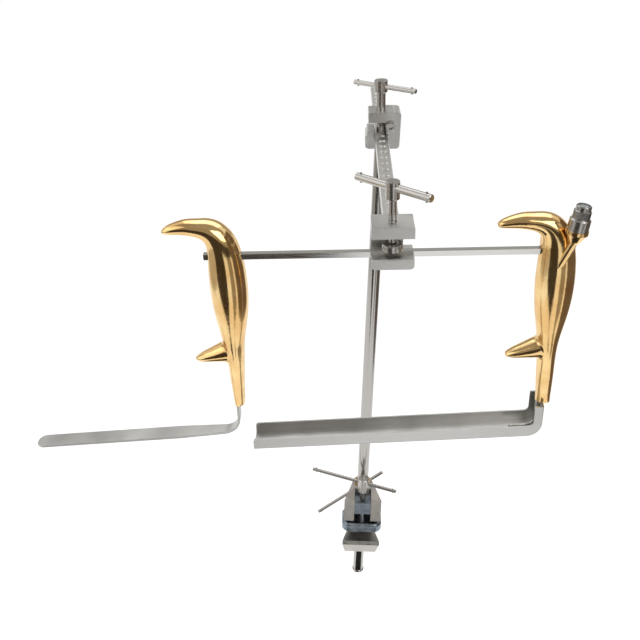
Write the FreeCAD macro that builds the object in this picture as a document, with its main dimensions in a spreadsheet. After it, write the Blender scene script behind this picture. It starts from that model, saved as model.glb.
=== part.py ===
import FreeCAD, Part
import math
import os
import Sketcher
from FreeCAD import Placement, Rotation, Vector

# Table-mounted self-retaining retractor, all lengths in millimetres and angles in degrees.
# World frame: origin at the centre of the lower table jaw's seat, Z up along the post,
# X along the rail, Y away from the surgeon.
# Upper frame: the support arm and everything on it, rolled about the pivot screw by arm_roll.
# Its origin is where the rail screw's axis meets the top face of the arm.

os.makedirs("parts", exist_ok=True)
doc = FreeCAD.newDocument("retractor")
sheet = doc.addObject("Spreadsheet::Sheet", "Sizes")

SIZES = {
    # clearances
    "running_gap": 0.05,
    "slide_gap": 0.15,
    "seat_gap": 0.02,
    "through": 1200,
    # post
    "post_radius": 7,
    "post_set_back": 24,
    "post_bottom": -87.5,
    "arm_height": 542.6,
    "arm_roll": 2.9,
    # table clamp
    "frame_half_width": 24,
    "frame_column_radius": 12.4,
    "frame_top": 68.5,
    "cheek_front": -12,
    "cheek_bottom": 33.5,
    "slot_half_width": 10.5,
    "slot_back": 10,
    "throat_back": 12,
    "jaw_front": -14,
    "jaw_nose_height": 7,
    "lower_jaw_depth": 31.4,
    "lower_jaw_tip_half_width": 8,
    "table_grip": 18.3,
    "table_jaw_thickness": 12,
    "table_jaw_half_width": 25.4,
    "bridge_bottom": 43.6,
    "bridge_height": 18,
    "bushing_radius": 9,
    "bushing_collar_radius": 10.6,
    "bushing_collar_height": 2,
    "lock_height": 36.6,
    "lock_boss_radius": 7,
    "lock_boss_end": 40,
    # table and lock screws
    "table_screw_radius": 3.5,
    "table_hub_radius": 7,
    "table_hub_bottom": 74,
    "table_hub_height": 21,
    "table_bar_rise": 13.3,
    "button_radius": 4.5,
    "button_height": 13,
    "table_bar_radius": 2.25,
    "table_bar_length": 112,
    "table_bar_turn": -20,
    "table_bar_shift": -13,
    "lock_screw_radius": 4,
    "lock_hub_start": 11,
    "lock_hub_height": 18,
    "lock_bar_turn": 41.5,
    "lock_bar_shift": -20,
    # head on the post
    "head_depth": 25.7,
    "head_left": -16.7,
    "head_right": 17.7,
    "head_step": 14,
    "head_top": 37.5,
    "head_drop": 22.5,
    "head_pin_inset": 2.2,
    "pivot_side": 5.9,
    "pivot_radius": 2.5,
    # arm clamp
    "pivot_x": 8.6,
    "pivot_z": 8.5,
    "arm_clamp_y": 242,
    "arm_clamp_depth": 26,
    "arm_clamp_left": -14,
    "arm_clamp_right": 12.8,
    "arm_clamp_bottom": -13.6,
    "arm_clamp_top": 21.7,
    "arm_throat_top": 12,
    "arm_lip_top": 4,
    # arm
    "arm_width": 12.7,
    "arm_thickness": 6,
    "arm_front_y": 8.6,
    "arm_rear_y": 425,
    "arm_hole_radius": 1.9,
    "arm_sink_radius": 3.3,
    "arm_hole_pitch": 15.7,
    "arm_first_hole_y": 37,
    "arm_hole_count": 25,
    # arm screw
    "arm_screw_radius": 4.5,
    "arm_hub_radius": 6.5,
    "arm_hub_bottom": 38,
    "arm_hub_height": 12,
    "arm_foot_radius": 4.5,
    "arm_foot_height": 7,
    "arm_bar_radius": 2.4,
    "arm_bar_length": 71,
    "arm_bar_turn": -36.5,
    "arm_bar_shift": 4,
    # front clamp
    "front_half_width": 15.75,
    "front_jaw_front": -13,
    "front_jaw_rear": 13.6,
    "front_top": 7.3,
    "front_throat_top": -1.3,
    "front_throat_bottom": -17.8,
    "front_bottom": -25.7,
    "front_web_y": 8.4,
    "front_web_right": 8.5,
    # rail
    "rail_size": 5,
    "rail_z": -18,
    "rail_left": -141,
    "rail_right": 128,
    # rail screw
    "rail_screw_radius": 3,
    "rail_hub_radius": 5.25,
    "rail_hub_bottom": 24,
    "rail_hub_height": 14.5,
    "rail_foot_radius": 8,
    "rail_foot_height": 5.5,
    "rail_bar_rise": 9.6,
    "rail_bar_radius": 3,
    "rail_bar_length": 70,
    "rail_bar_turn": -43,
    "rail_bar_shift": 0,
    # retractors
    "left_station": -125,
    "right_station": 121.3,
    "handle_bottom": -134,
    "tang_length": 20,
    "tang_width": 9,
    "pin_inset": 0.3,
    "foot_half_depth": 6.8,
    "spur_blend": 3.5,
    "left_foot_x": 0.1,
    "left_foot_half": 4.4,
    "right_foot_x": 2.4,
    "right_foot_half": 6.1,
    "rail_slot_run": 80,
    "left_blade_width": 15,
    "left_blade_thickness": 2,
    "left_blade_back": -0.3,
    "left_waist_half": 4.8,
    "left_waist_run": 52,
    "left_blade_drop": 162,
    "left_blade_slope": 4.1,
    "left_blade_tip": -178,
    "left_blade_bend": 15,
    "trough_width": 24,
    "trough_sheet": 1.5,
    "trough_back": 1.7,
    "trough_shank_depth": 7.2,
    "trough_drop": 163,
    "trough_depth": 10.1,
    "trough_slope": 2.8,
    "trough_tip": -236.3,
    "trough_bend": 12,
    # light fittings
    "light_foot_x": -5,
    "light_foot_y": -9.5,
    "light_foot_z": -20,
    "light_x": 7.1,
    "light_y": -14.8,
    "light_z": 13,
    "light_lean": 8,
    "light_tube_radius": 3,
    "light_cup_radius": 8.2,
    "light_cup_height": 9.5,
    "connector_radius": 7.6,
    "connector_height": 9,
    "nipple_radius": 6.3,
    "nipple_height": 9.5,
    "fibre_radius": 1.5,
    "guide_radius": 1.5,
    "guide_reach": 21,
}

for row, (alias, number) in enumerate(SIZES.items(), start=1):
    sheet.set("A%d" % row, alias)
    sheet.set("B%d" % row, str(number))
    sheet.setAlias("B%d" % row, alias)
doc.recompute()


class Size:
    """A number together with the sheet formula that gives it."""

    def __init__(self, number, formula):
        self.number = float(number)
        self.formula = formula

    def __add__(self, other):
        other = as_size(other)
        return Size(self.number + other.number, "(%s + %s)" % (self.formula, other.formula))

    def __sub__(self, other):
        other = as_size(other)
        return Size(self.number - other.number, "(%s - %s)" % (self.formula, other.formula))

    def __mul__(self, other):
        other = as_size(other)
        return Size(self.number * other.number, "(%s * %s)" % (self.formula, other.formula))

    def __truediv__(self, other):
        other = as_size(other)
        return Size(self.number / other.number, "(%s / %s)" % (self.formula, other.formula))

    def __neg__(self):
        return Size(-self.number, "(0 - %s)" % self.formula)

    def __radd__(self, other):
        return as_size(other) + self

    def __rsub__(self, other):
        return as_size(other) - self

    def __rmul__(self, other):
        return as_size(other) * self


def as_size(value):
    if isinstance(value, Size):
        return value
    return Size(value, "(%r)" % float(value))


def cosine(angle):
    return Size(math.cos(math.radians(angle.number)), "cos(%s * 1deg)" % angle.formula)


def sine(angle):
    return Size(math.sin(math.radians(angle.number)), "sin(%s * 1deg)" % angle.formula)


def tangent(angle):
    return Size(math.tan(math.radians(angle.number)), "tan(%s * 1deg)" % angle.formula)


class Cells:
    """Every size in the sheet, reached by its alias."""

    def __getattr__(self, alias):
        return Size(SIZES[alias], "Sizes." + alias)


c = Cells()


def bind(target, path, size):
    target.setExpression(path, as_size(size).formula)


# Frames

def upper(x, y, z):
    """World position of a point given in the upper frame."""
    turn_cos = cosine(c.arm_roll)
    turn_sin = sine(c.arm_roll)
    across = as_size(x) - c.pivot_x
    up = as_size(z) - c.pivot_z
    world_x = c.pivot_side + across * turn_cos - up * turn_sin
    world_y = c.post_set_back - UPPER_POST_Y + as_size(y)
    world_z = c.arm_height + c.pivot_z + across * turn_sin + up * turn_cos
    return world_x, world_y, world_z


UPPER_POST_Y = 268
LEVEL = Rotation()
ROLLED = Rotation(Vector(0, 1, 0), -SIZES["arm_roll"])


def turned(angle):
    return Rotation(Vector(0, 0, 1), angle.number)


def place(item, position, rotation=LEVEL):
    x, y, z = [as_size(value) for value in position]
    item.Placement = Placement(Vector(x.number, y.number, z.number), rotation)
    bind(item, "Placement.Base.x", x)
    bind(item, "Placement.Base.y", y)
    bind(item, "Placement.Base.z", z)


# Sketch and feature helpers

def new_body(name):
    body = doc.addObject("PartDesign::Body", name)
    body.Label = name
    return body


def new_sketch(body, plane, lift=0):
    """Sketch on one of the body's own origin planes, lifted along the plane's normal."""
    sketch = body.newObject("Sketcher::SketchObject", body.Name + "_sketch")
    for feature in body.Origin.OriginFeatures:
        if feature.Role == plane + "_Plane":
            sketch.AttachmentSupport = (feature, [""])
    sketch.MapMode = "FlatFace"
    lift = as_size(lift)
    sketch.AttachmentOffset = Placement(Vector(0, 0, lift.number), Rotation())
    bind(sketch, "AttachmentOffset.Base.z", lift)
    return sketch


def fix_point(sketch, element, point, x, y):
    """Ties a sketch point to the sketch origin by its two sizes."""
    for kind, size in (("DistanceX", as_size(x)), ("DistanceY", as_size(y))):
        index = sketch.addConstraint(Sketcher.Constraint(kind, -1, 1, element, point, size.number))
        bind(sketch, "Constraints[%d]" % index, size)


def polygon(sketch, corners):
    points = [(as_size(x), as_size(y)) for x, y in corners]
    first = sketch.GeometryCount
    count = len(points)
    for index in range(count):
        x0, y0 = points[index]
        x1, y1 = points[(index + 1) % count]
        start = Vector(x0.number, y0.number, 0)
        end = Vector(x1.number, y1.number, 0)
        sketch.addGeometry(Part.LineSegment(start, end))
    for index in range(count):
        following = first + (index + 1) % count
        sketch.addConstraint(Sketcher.Constraint("Coincident", first + index, 2, following, 1))
    for index in range(count):
        fix_point(sketch, first + index, 1, *points[index])
    return sketch


def rectangle(sketch, left, right, low, high):
    return polygon(sketch, [(left, low), (right, low), (right, high), (left, high)])


def circle(sketch, x, y, radius):
    x, y, radius = as_size(x), as_size(y), as_size(radius)
    centre = Vector(x.number, y.number, 0)
    element = sketch.addGeometry(Part.Circle(centre, Vector(0, 0, 1), radius.number))
    fix_point(sketch, element, 3, x, y)
    index = sketch.addConstraint(Sketcher.Constraint("Radius", element, radius.number))
    bind(sketch, "Constraints[%d]" % index, radius)
    return sketch


def pad(body, sketch, length, both_ways=False, reverse=False):
    feature = body.newObject("PartDesign::Pad", body.Name + "_pad")
    feature.Profile = sketch
    feature.SideType = "Symmetric" if both_ways else "One side"
    feature.Reversed = reverse
    feature.Length = as_size(length).number
    bind(feature, "Length", length)
    sketch.Visibility = False
    doc.recompute()
    return feature


def pocket(body, sketch, length=None, both_ways=True, reverse=False):
    """Cut that must remove material; without a length it goes through everything."""
    before = body.Shape.Volume
    length = c.through if length is None else as_size(length)
    feature = body.newObject("PartDesign::Pocket", body.Name + "_pocket")
    feature.Profile = sketch
    feature.SideType = "Symmetric" if both_ways else "One side"
    feature.Reversed = reverse
    feature.Length = length.number
    bind(feature, "Length", length)
    sketch.Visibility = False
    doc.recompute()
    if body.Shape.Volume > before - 0.01:
        raise RuntimeError("a pocket of %s removes nothing" % body.Name)
    return feature


def revolve(body, profile):
    """Turned solid from a profile of (radius, height) corners about the body's Z axis."""
    sketch = polygon(new_sketch(body, "XZ"), profile)
    feature = body.newObject("PartDesign::Revolution", body.Name + "_revolution")
    feature.Profile = sketch
    feature.ReferenceAxis = (sketch, ["V_Axis"])
    feature.Angle = 360
    sketch.Visibility = False
    doc.recompute()
    return feature


def dress(body, kind, radius, wanted):
    """Rounds (Fillet) or bevels (Chamfer) every edge that the test picks."""
    base = body.Tip
    names = []
    for index, edge in enumerate(base.Shape.Edges, start=1):
        if wanted(edge):
            names.append("Edge%d" % index)
    if not names:
        raise RuntimeError("no edge of %s fits the test" % body.Name)
    feature = body.newObject("PartDesign::" + kind, body.Name + "_" + kind.lower())
    feature.Base = (base, names)
    path = "Radius" if kind == "Fillet" else "Size"
    setattr(feature, path, as_size(radius).number)
    bind(feature, path, radius)
    doc.recompute()
    return feature


def along(edge, axis):
    """True for a straight edge that runs along the given axis of the part."""
    if edge.Curve.TypeId != "Part::GeomLine":
        return False
    return abs(edge.Curve.Direction.dot(axis)) > 0.999


def near(edge, x=None, y=None, z=None, reach=0.3):
    """True when the middle of an edge is at the given coordinates."""
    middle = edge.CenterOfMass
    pairs = ((x, middle.x), (y, middle.y), (z, middle.z))
    return all(value is None or abs(as_size(value).number - found) < reach for value, found in pairs)


X_AXIS, Y_AXIS, Z_AXIS = Vector(1, 0, 0), Vector(0, 1, 0), Vector(0, 0, 1)
ALONG_X = Rotation(Vector(0, 1, 0), 90)
ALONG_Y = Rotation(Vector(1, 0, 0), -90)


def rod(name, radius, length, position, rotation=LEVEL):
    item = doc.addObject("Part::Cylinder", name)
    bind(item, "Radius", radius)
    bind(item, "Height", length)
    place(item, position, rotation)
    return item


def block(name, size, position):
    item = doc.addObject("Part::Box", name)
    for path, value in zip(("Length", "Width", "Height"), size):
        bind(item, path, value)
    place(item, position)
    return item


def group(name, items, position=(0, 0, 0), rotation=LEVEL):
    """Several like solids in one node."""
    item = doc.addObject("Part::Compound", name)
    item.Links = items
    item.Label = name
    place(item, position, rotation)
    return item


nodes = []


# Screws with a sliding tommy bar

def spindle(name, profile, hole_height, bar_radius, position, rotation):
    """Turned screw with a cross hole for its bar; local Z runs up the screw."""
    body = new_body(name)
    revolve(body, profile)
    hole = circle(new_sketch(body, "YZ"), 0, hole_height, bar_radius + c.running_gap)
    pocket(body, hole)
    place(body, position, rotation)
    nodes.append(body)
    return body


def hub_profile(radius, bottom, height, shank):
    """Upper half of a spindle's profile: bevelled hub with a slightly domed top."""
    bevel = 1.2
    top = bottom + height
    return [
        (shank, bottom),
        (radius - bevel, bottom),
        (radius, bottom + bevel),
        (radius, top - bevel / 2),
        (radius - bevel / 2, top),
        (0, top + 0.2),
    ]


def tommy_bar(name, radius, length, position, rotation):
    """Bar along its local X with bevelled ends and a stop pin near each end."""
    body = new_body(name)
    pad(body, circle(new_sketch(body, "YZ"), 0, 0, radius), length, both_ways=True)
    dress(body, "Chamfer", 0.5, lambda edge: edge.Curve.TypeId == "Part::GeomCircle")
    inset = length / 2 - 4.5
    pin_radius = 0.9
    holes = new_sketch(body, "XY")
    for side in (-1, 1):
        circle(holes, inset * side, 0, pin_radius + 0.01)
    pocket(body, holes)
    place(body, position, rotation)
    nodes.append(body)
    proud = radius + 0.8
    pins = []
    for index, side in enumerate((-1, 1)):
        start = (inset * side, 0, -proud)
        pins.append(rod("%s_pin_%d" % (name, index + 1), pin_radius, proud * 2, start))
    nodes.append(group(name + "_stop_pins", pins, position, rotation))


def shifted(point, angle, shift):
    """Upper-frame point moved along a horizontal bar that is turned about Z."""
    x, y, z = point
    return upper(x + cosine(angle) * shift, y + sine(angle) * shift, z)


# Table clamp

frame = new_body("clamp_frame")
column = c.frame_column_radius
height = c.frame_top + c.lower_jaw_depth
plan = polygon(new_sketch(frame, "XY", -c.lower_jaw_depth), [
    (-c.frame_half_width, c.jaw_front),
    (c.frame_half_width, c.jaw_front),
    (column * 0.95, c.post_set_back + column * 0.3),
    (-column * 0.95, c.post_set_back + column * 0.3),
])
pad(frame, plan, height)
pad(frame, circle(new_sketch(frame, "XY", -c.lower_jaw_depth), 0, c.post_set_back, column), height)
boss = circle(new_sketch(frame, "XZ", -c.post_set_back), 0, c.lock_height, c.lock_boss_radius)
pad(frame, boss, c.lock_boss_end - c.post_set_back, reverse=True)
throat = polygon(new_sketch(frame, "YZ"), [
    (c.jaw_front - 1, 0),
    (c.throat_back, 0),
    (c.throat_back, c.cheek_bottom),
    (c.cheek_front, c.cheek_bottom),
    (c.cheek_front, c.frame_top + 1),
    (c.jaw_front - 1, c.frame_top + 1),
])
pocket(frame, throat)
underside = polygon(new_sketch(frame, "YZ"), [
    (c.jaw_front - 1, -c.jaw_nose_height),
    (c.jaw_front, -c.jaw_nose_height),
    (c.jaw_front + 13, -c.lower_jaw_depth - 1),
    (c.jaw_front - 1, -c.lower_jaw_depth - 1),
])
pocket(frame, underside)
flanks = new_sketch(frame, "XZ")
outside = c.frame_half_width + 5
for side in (-1, 1):
    polygon(flanks, [
        (c.frame_half_width * side, -c.jaw_nose_height),
        (c.lower_jaw_tip_half_width * side, -c.lower_jaw_depth - 0.5),
        (outside * side, -c.lower_jaw_depth - 0.5),
        (outside * side, -c.jaw_nose_height),
    ])
pocket(frame, flanks, c.throat_back - c.jaw_front, both_ways=False)
front_slot = rectangle(
    new_sketch(frame, "XZ", -c.slot_back), -c.slot_half_width, c.slot_half_width,
    c.cheek_bottom - 1, c.frame_top + 1)
pocket(frame, front_slot, c.slot_back - c.cheek_front + 1, both_ways=False, reverse=True)
bore = circle(new_sketch(frame, "XY"), 0, c.post_set_back, c.bushing_radius + c.running_gap)
pocket(frame, bore)
lock_bore = circle(
    new_sketch(frame, "XZ", -c.post_set_back), 0, c.lock_height, c.lock_screw_radius + c.running_gap)
pocket(frame, lock_bore, c.lock_boss_end - c.post_set_back + 1, both_ways=False)
nut_pin_radius = 2
nut_pin_z = c.bridge_bottom + c.bridge_height / 2
pocket(frame, circle(new_sketch(frame, "YZ"), -1, nut_pin_z, nut_pin_radius + c.seat_gap))
place(frame, (0, 0, 0))
nodes.append(frame)

bridge = new_body("bridge_nut")
pad(bridge, rectangle(
    new_sketch(bridge, "XY"), -c.slot_half_width + c.seat_gap, c.slot_half_width - c.seat_gap,
    c.cheek_front + 2, c.slot_back - c.seat_gap), c.bridge_height)
pocket(bridge, circle(new_sketch(bridge, "XY"), 0, 0, c.table_screw_radius + c.running_gap))
pin_depth = 3.5
side_holes = circle(
    new_sketch(bridge, "YZ", c.slot_half_width - pin_depth), -1, c.bridge_height / 2,
    nut_pin_radius + c.seat_gap)
pocket(bridge, side_holes, pin_depth + 1, both_ways=False, reverse=True)
side_holes = circle(
    new_sketch(bridge, "YZ", -c.slot_half_width + pin_depth), -1, c.bridge_height / 2,
    nut_pin_radius + c.seat_gap)
pocket(bridge, side_holes, pin_depth + 1, both_ways=False)
place(bridge, (0, 0, c.bridge_bottom))
nodes.append(bridge)

nut_pins = []
nut_pin_length = 10
for side, start in ((-1, -c.slot_half_width + pin_depth - nut_pin_length), (1, c.slot_half_width - pin_depth)):
    nut_pins.append(rod("nut_pin_%d" % len(nut_pins), nut_pin_radius, nut_pin_length,
                        (start, 0, 0), ALONG_X))
nodes.append(group("bridge_pins", nut_pins, (0, -1, nut_pin_z)))

table_jaw = new_body("table_jaw")
pad(table_jaw, rectangle(
    new_sketch(table_jaw, "XY"), -c.table_jaw_half_width, c.table_jaw_half_width,
    c.jaw_front - 2, c.throat_back - c.slide_gap), c.table_jaw_thickness)
dress(table_jaw, "Fillet", 11, lambda edge: along(edge, Z_AXIS) and near(edge, y=c.jaw_front - 2))
dress(table_jaw, "Fillet", 4, lambda edge: near(edge, z=c.table_jaw_thickness)
      and edge.CenterOfMass.y < 0)
socket_depth = 4
pocket(table_jaw, circle(new_sketch(table_jaw, "XY", c.table_jaw_thickness), 0, 0,
                         c.button_radius + c.seat_gap), socket_depth, both_ways=False)
place(table_jaw, (0, 0, c.table_grip))
nodes.append(table_jaw)

button_bottom = c.table_grip + c.table_jaw_thickness - socket_depth
button_floor = 4
button = new_body("table_screw_button")
dog_radius = 2.2
revolve(button, [
    (0, 0), (c.button_radius, 0), (c.button_radius, c.button_height - 1),
    (c.button_radius - 1, c.button_height), (dog_radius + 0.1, c.button_height),
    (dog_radius + 0.1, button_floor), (0, button_floor),
])
place(button, (0, 0, button_bottom + c.seat_gap))
nodes.append(button)

dog_bottom = button_bottom + button_floor + c.running_gap * 2
table_hub = c.table_hub_bottom
spindle("table_screw", [
    (0, dog_bottom), (dog_radius, dog_bottom),
    (dog_radius, button_bottom + c.button_height + 0.3),
    (c.table_screw_radius, button_bottom + c.button_height + 0.3),
] + hub_profile(c.table_hub_radius, table_hub, c.table_hub_height, c.table_screw_radius),
    table_hub + c.table_bar_rise, c.table_bar_radius, (0, 0, 0), turned(c.table_bar_turn))
tommy_bar("table_bar", c.table_bar_radius, c.table_bar_length, (
    cosine(c.table_bar_turn) * c.table_bar_shift, sine(c.table_bar_turn) * c.table_bar_shift,
    table_hub + c.table_bar_rise), turned(c.table_bar_turn))

bushing = new_body("post_bushing")
bushing_bottom = -c.lower_jaw_depth - 2.5
bushing_bore = c.post_radius + c.running_gap
collar_bottom = c.frame_top + c.seat_gap
groove = 1.2
revolve(bushing, [
    (bushing_bore, bushing_bottom),
    (c.bushing_radius, bushing_bottom),
    (c.bushing_radius, bushing_bottom + 0.6),
    (c.bushing_radius - 0.6, bushing_bottom + 0.6),
    (c.bushing_radius - 0.6, bushing_bottom + 0.6 + groove),
    (c.bushing_radius, bushing_bottom + 0.6 + groove),
    (c.bushing_radius, collar_bottom),
    (c.bushing_collar_radius, collar_bottom),
    (c.bushing_collar_radius, collar_bottom + c.bushing_collar_height - 0.8),
    (c.bushing_collar_radius - 0.8, collar_bottom + c.bushing_collar_height),
    (bushing_bore, collar_bottom + c.bushing_collar_height),
])
slit = rectangle(new_sketch(bushing, "XZ"), -0.6, 0.6, bushing_bottom - 1, c.frame_top + 10)
pocket(bushing, slit, c.bushing_collar_radius + 2, both_ways=False, reverse=False)
place(bushing, (0, c.post_set_back, 0))
nodes.append(bushing)

ring = new_body("bushing_ring")
ring_gap = 0.05
revolve(ring, [
    (c.bushing_radius - 0.6 + ring_gap, 0), (c.bushing_radius + 1.6, 0),
    (c.bushing_radius + 1.6, groove - ring_gap * 2), (c.bushing_radius - 0.6 + ring_gap, groove - ring_gap * 2),
])
pocket(ring, rectangle(new_sketch(ring, "XZ"), -2.5, 2.5, -1, groove + 1), c.bushing_radius + 3,
       both_ways=False)
place(ring, (0, c.post_set_back, bushing_bottom + 0.6 + ring_gap))
nodes.append(ring)

lock_turn = Rotation(Vector(0, 0, 1), 0).multiply(Rotation(Vector(1, 0, 0), -90))
lock_turn = lock_turn.multiply(Rotation(Vector(0, 0, 1), -SIZES["lock_bar_turn"]))
shoe_length = 4
shoe_face = c.bushing_radius + c.running_gap
shoe = new_body("lock_shoe")
pad(shoe, circle(new_sketch(shoe, "XY", -1), 0, 0, c.lock_screw_radius - c.seat_gap), shoe_length + 1)
pocket(shoe, circle(new_sketch(shoe, "XZ"), 0, -shoe_face, shoe_face))
place(shoe, (0, c.post_set_back + shoe_face, c.lock_height), ALONG_Y)
nodes.append(shoe)

lock_start = shoe_length + c.running_gap
spindle("lock_screw", [
    (0, lock_start), (c.lock_screw_radius, lock_start),
] + hub_profile(c.table_hub_radius, c.lock_hub_start, c.lock_hub_height, c.lock_screw_radius),
    c.lock_hub_start + c.lock_hub_height / 2, c.table_bar_radius,
    (0, c.post_set_back + shoe_face, c.lock_height), lock_turn)
lock_bar_y = c.post_set_back + shoe_face + c.lock_hub_start + c.lock_hub_height / 2
tommy_bar("lock_bar", c.table_bar_radius, c.table_bar_length, (
    cosine(c.lock_bar_turn) * c.lock_bar_shift, lock_bar_y,
    c.lock_height + sine(c.lock_bar_turn) * c.lock_bar_shift), lock_turn)

# Post and its head

post = new_body("post")
head_bottom = c.arm_height - c.head_drop
head_socket_depth = 11.5
post_top = head_bottom + head_socket_depth
post_length = post_top - c.post_bottom
spigot_radius, spigot_length = 4, 8
pad(post, circle(new_sketch(post, "XY"), 0, 0, c.post_radius), post_length)
pocket(post, circle(new_sketch(post, "XY"), 0, 0, spigot_radius + c.seat_gap), spigot_length + 0.1,
       both_ways=False, reverse=True)
head_pin_radius = 2
head_pin_z = 5.5
pocket(post, circle(new_sketch(post, "YZ"), 0, head_bottom + head_pin_z - c.post_bottom,
                    head_pin_radius + c.seat_gap))
place(post, (0, c.post_set_back, c.post_bottom))
nodes.append(post)

cap = new_body("post_end_cap")
cap_radius, cap_height = c.post_radius + 0.9, 3
revolve(cap, [
    (0, 0), (cap_radius - 0.8, 0), (cap_radius, 0.8), (cap_radius, cap_height - 0.4),
    (cap_radius - 0.4, cap_height), (spigot_radius, cap_height),
    (spigot_radius, cap_height + spigot_length), (0, cap_height + spigot_length),
])
place(cap, (0, c.post_set_back, c.post_bottom - cap_height - c.seat_gap))
nodes.append(cap)

head = new_body("post_head")
arm_side = c.pivot_side - c.pivot_x + c.arm_width / 2 + 1.65
pad(head, polygon(new_sketch(head, "XZ"), [
    (c.head_left, 0), (c.head_right, 0), (c.head_right, c.head_top),
    (c.pivot_side - 6.6, c.head_top), (c.pivot_side - 6.6, c.head_top - 12),
    (arm_side, c.head_top - 12), (arm_side, c.head_step), (c.head_left, c.head_step),
]), c.head_depth, both_ways=True)
dress(head, "Fillet", 4, lambda edge: along(edge, Y_AXIS) and near(edge, x=c.head_right))
dress(head, "Fillet", 2, lambda edge: along(edge, Y_AXIS) and near(edge, x=c.head_left))
pocket(head, circle(new_sketch(head, "XY"), 0, 0, c.post_radius + c.seat_gap), head_socket_depth + c.seat_gap,
       both_ways=False, reverse=True)
pocket(head, circle(new_sketch(head, "YZ"), 0, head_pin_z, head_pin_radius + c.seat_gap))
pivot_up = c.head_drop + c.pivot_z
pocket(head, circle(new_sketch(head, "XZ"), c.pivot_side, pivot_up, c.pivot_radius + c.seat_gap))
place(head, (0, c.post_set_back, head_bottom))
nodes.append(head)

head_pin = rod("head_pin", head_pin_radius, c.head_right - c.head_left - c.head_pin_inset * 2,
               (c.head_left + c.head_pin_inset, c.post_set_back, head_bottom + head_pin_z), ALONG_X)
nodes.append(head_pin)

# Arm clamp

clamp = new_body("arm_clamp")
arm_half = c.arm_width / 2 + c.slide_gap
pad(clamp, polygon(new_sketch(clamp, "XZ"), [
    (c.arm_clamp_left, c.arm_clamp_bottom),
    (c.arm_clamp_right, c.arm_clamp_bottom),
    (c.arm_clamp_right, c.arm_clamp_top),
    (c.arm_clamp_left + 1.5, c.arm_clamp_top),
    (c.arm_clamp_left + 1.5, c.arm_throat_top),
    (c.arm_foot_radius + 0.3, c.arm_throat_top),
    (c.arm_foot_radius + 0.3, 0.6),
    (arm_half, 0.6),
    (arm_half, -c.arm_thickness - c.seat_gap),
    (-arm_half, -c.arm_thickness - c.seat_gap),
    (-arm_half, c.arm_lip_top),
    (c.arm_clamp_left, c.arm_lip_top),
]), c.arm_clamp_depth, both_ways=True)
dress(clamp, "Fillet", 1.5, lambda edge: along(edge, Y_AXIS) and (
    near(edge, x=c.arm_clamp_right) or near(edge, x=c.arm_clamp_left) or near(edge, z=c.arm_clamp_top)))
pocket(clamp, circle(new_sketch(clamp, "XY", c.arm_throat_top - 1), 0, 0,
                     c.arm_screw_radius + c.running_gap), 20, both_ways=False, reverse=True)
pocket(clamp, circle(new_sketch(clamp, "XZ"), c.pivot_x, c.pivot_z, c.pivot_radius + c.running_gap))
place(clamp, upper(0, c.arm_clamp_y, 0), ROLLED)
nodes.append(clamp)

pivot = new_body("pivot_screw")
head_radius, head_height = 4.25, 5
pivot_length = c.arm_clamp_depth + 22
pad(pivot, circle(new_sketch(pivot, "XY"), 0, 0, head_radius), head_height, reverse=True)
dress(pivot, "Chamfer", 0.4, lambda edge: near(edge, z=-head_height))
pad(pivot, circle(new_sketch(pivot, "XY"), 0, 0, c.pivot_radius), pivot_length)
hexagon = []
for step in range(6):
    angle = math.radians(60 * step)
    hexagon.append((2.31 * math.cos(angle), 2.31 * math.sin(angle)))
pocket(pivot, polygon(new_sketch(pivot, "XY", -head_height), hexagon), 2.8, both_ways=False, reverse=True)
pivot_front = c.arm_clamp_y - c.arm_clamp_depth / 2 - c.running_gap
place(pivot, upper(c.pivot_x, pivot_front, c.pivot_z), ALONG_Y)
nodes.append(pivot)

foot = new_body("arm_screw_foot")
dog = 2.2
revolve(foot, [
    (0, 0), (c.arm_foot_radius, 0), (c.arm_foot_radius, c.arm_foot_height - 0.6),
    (c.arm_foot_radius - 0.6, c.arm_foot_height), (dog + 0.1, c.arm_foot_height),
    (dog + 0.1, 2), (0, 2),
])
place(foot, upper(0, c.arm_clamp_y, c.seat_gap), ROLLED)
nodes.append(foot)

arm_turn = ROLLED.multiply(turned(c.arm_bar_turn))
spindle("arm_screw", [
    (0, 2 + c.seat_gap * 3), (dog, 2 + c.seat_gap * 3), (dog, c.arm_foot_height + c.running_gap),
    (c.arm_screw_radius - 0.6, c.arm_foot_height + c.running_gap),
    (c.arm_screw_radius, c.arm_foot_height + 0.6),
] + hub_profile(c.arm_hub_radius, c.arm_hub_bottom, c.arm_hub_height, c.arm_screw_radius),
    c.arm_hub_bottom + c.arm_hub_height / 2, c.arm_bar_radius, upper(0, c.arm_clamp_y, 0), arm_turn)
tommy_bar("arm_screw_bar", c.arm_bar_radius, c.arm_bar_length, shifted(
    (0, c.arm_clamp_y, c.arm_hub_bottom + c.arm_hub_height / 2), c.arm_bar_turn, c.arm_bar_shift), arm_turn)

# Support arm

arm = new_body("support_arm")
pad(arm, rectangle(
    new_sketch(arm, "XY"), -c.arm_width / 2, c.arm_width / 2, c.arm_front_y + c.seat_gap, c.arm_rear_y),
    c.arm_thickness, reverse=True)
dress(arm, "Chamfer", 0.6, lambda edge: along(edge, Y_AXIS))
first_hole = circle(new_sketch(arm, "XY"), 0, c.arm_first_hole_y, c.arm_hole_radius)
doc.recompute()
hole = arm.newObject("PartDesign::Hole", "arm_hole")
hole.Profile = first_hole
hole.DepthType = "ThroughAll"
hole.HoleCutType = "Countersink"
hole.HoleCutCustomValues = True
bind(hole, "Diameter", c.arm_hole_radius * 2)
bind(hole, "HoleCutDiameter", c.arm_sink_radius * 2)
hole.HoleCutCountersinkAngle = 90
doc.recompute()
pattern = arm.newObject("PartDesign::LinearPattern", "arm_holes")
pattern.Originals = [hole]
pattern.Direction = (first_hole, ["V_Axis"])
pattern.Mode = "Spacing"
bind(pattern, "Offset", c.arm_hole_pitch)
pattern.Occurrences = SIZES["arm_hole_count"]
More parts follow.
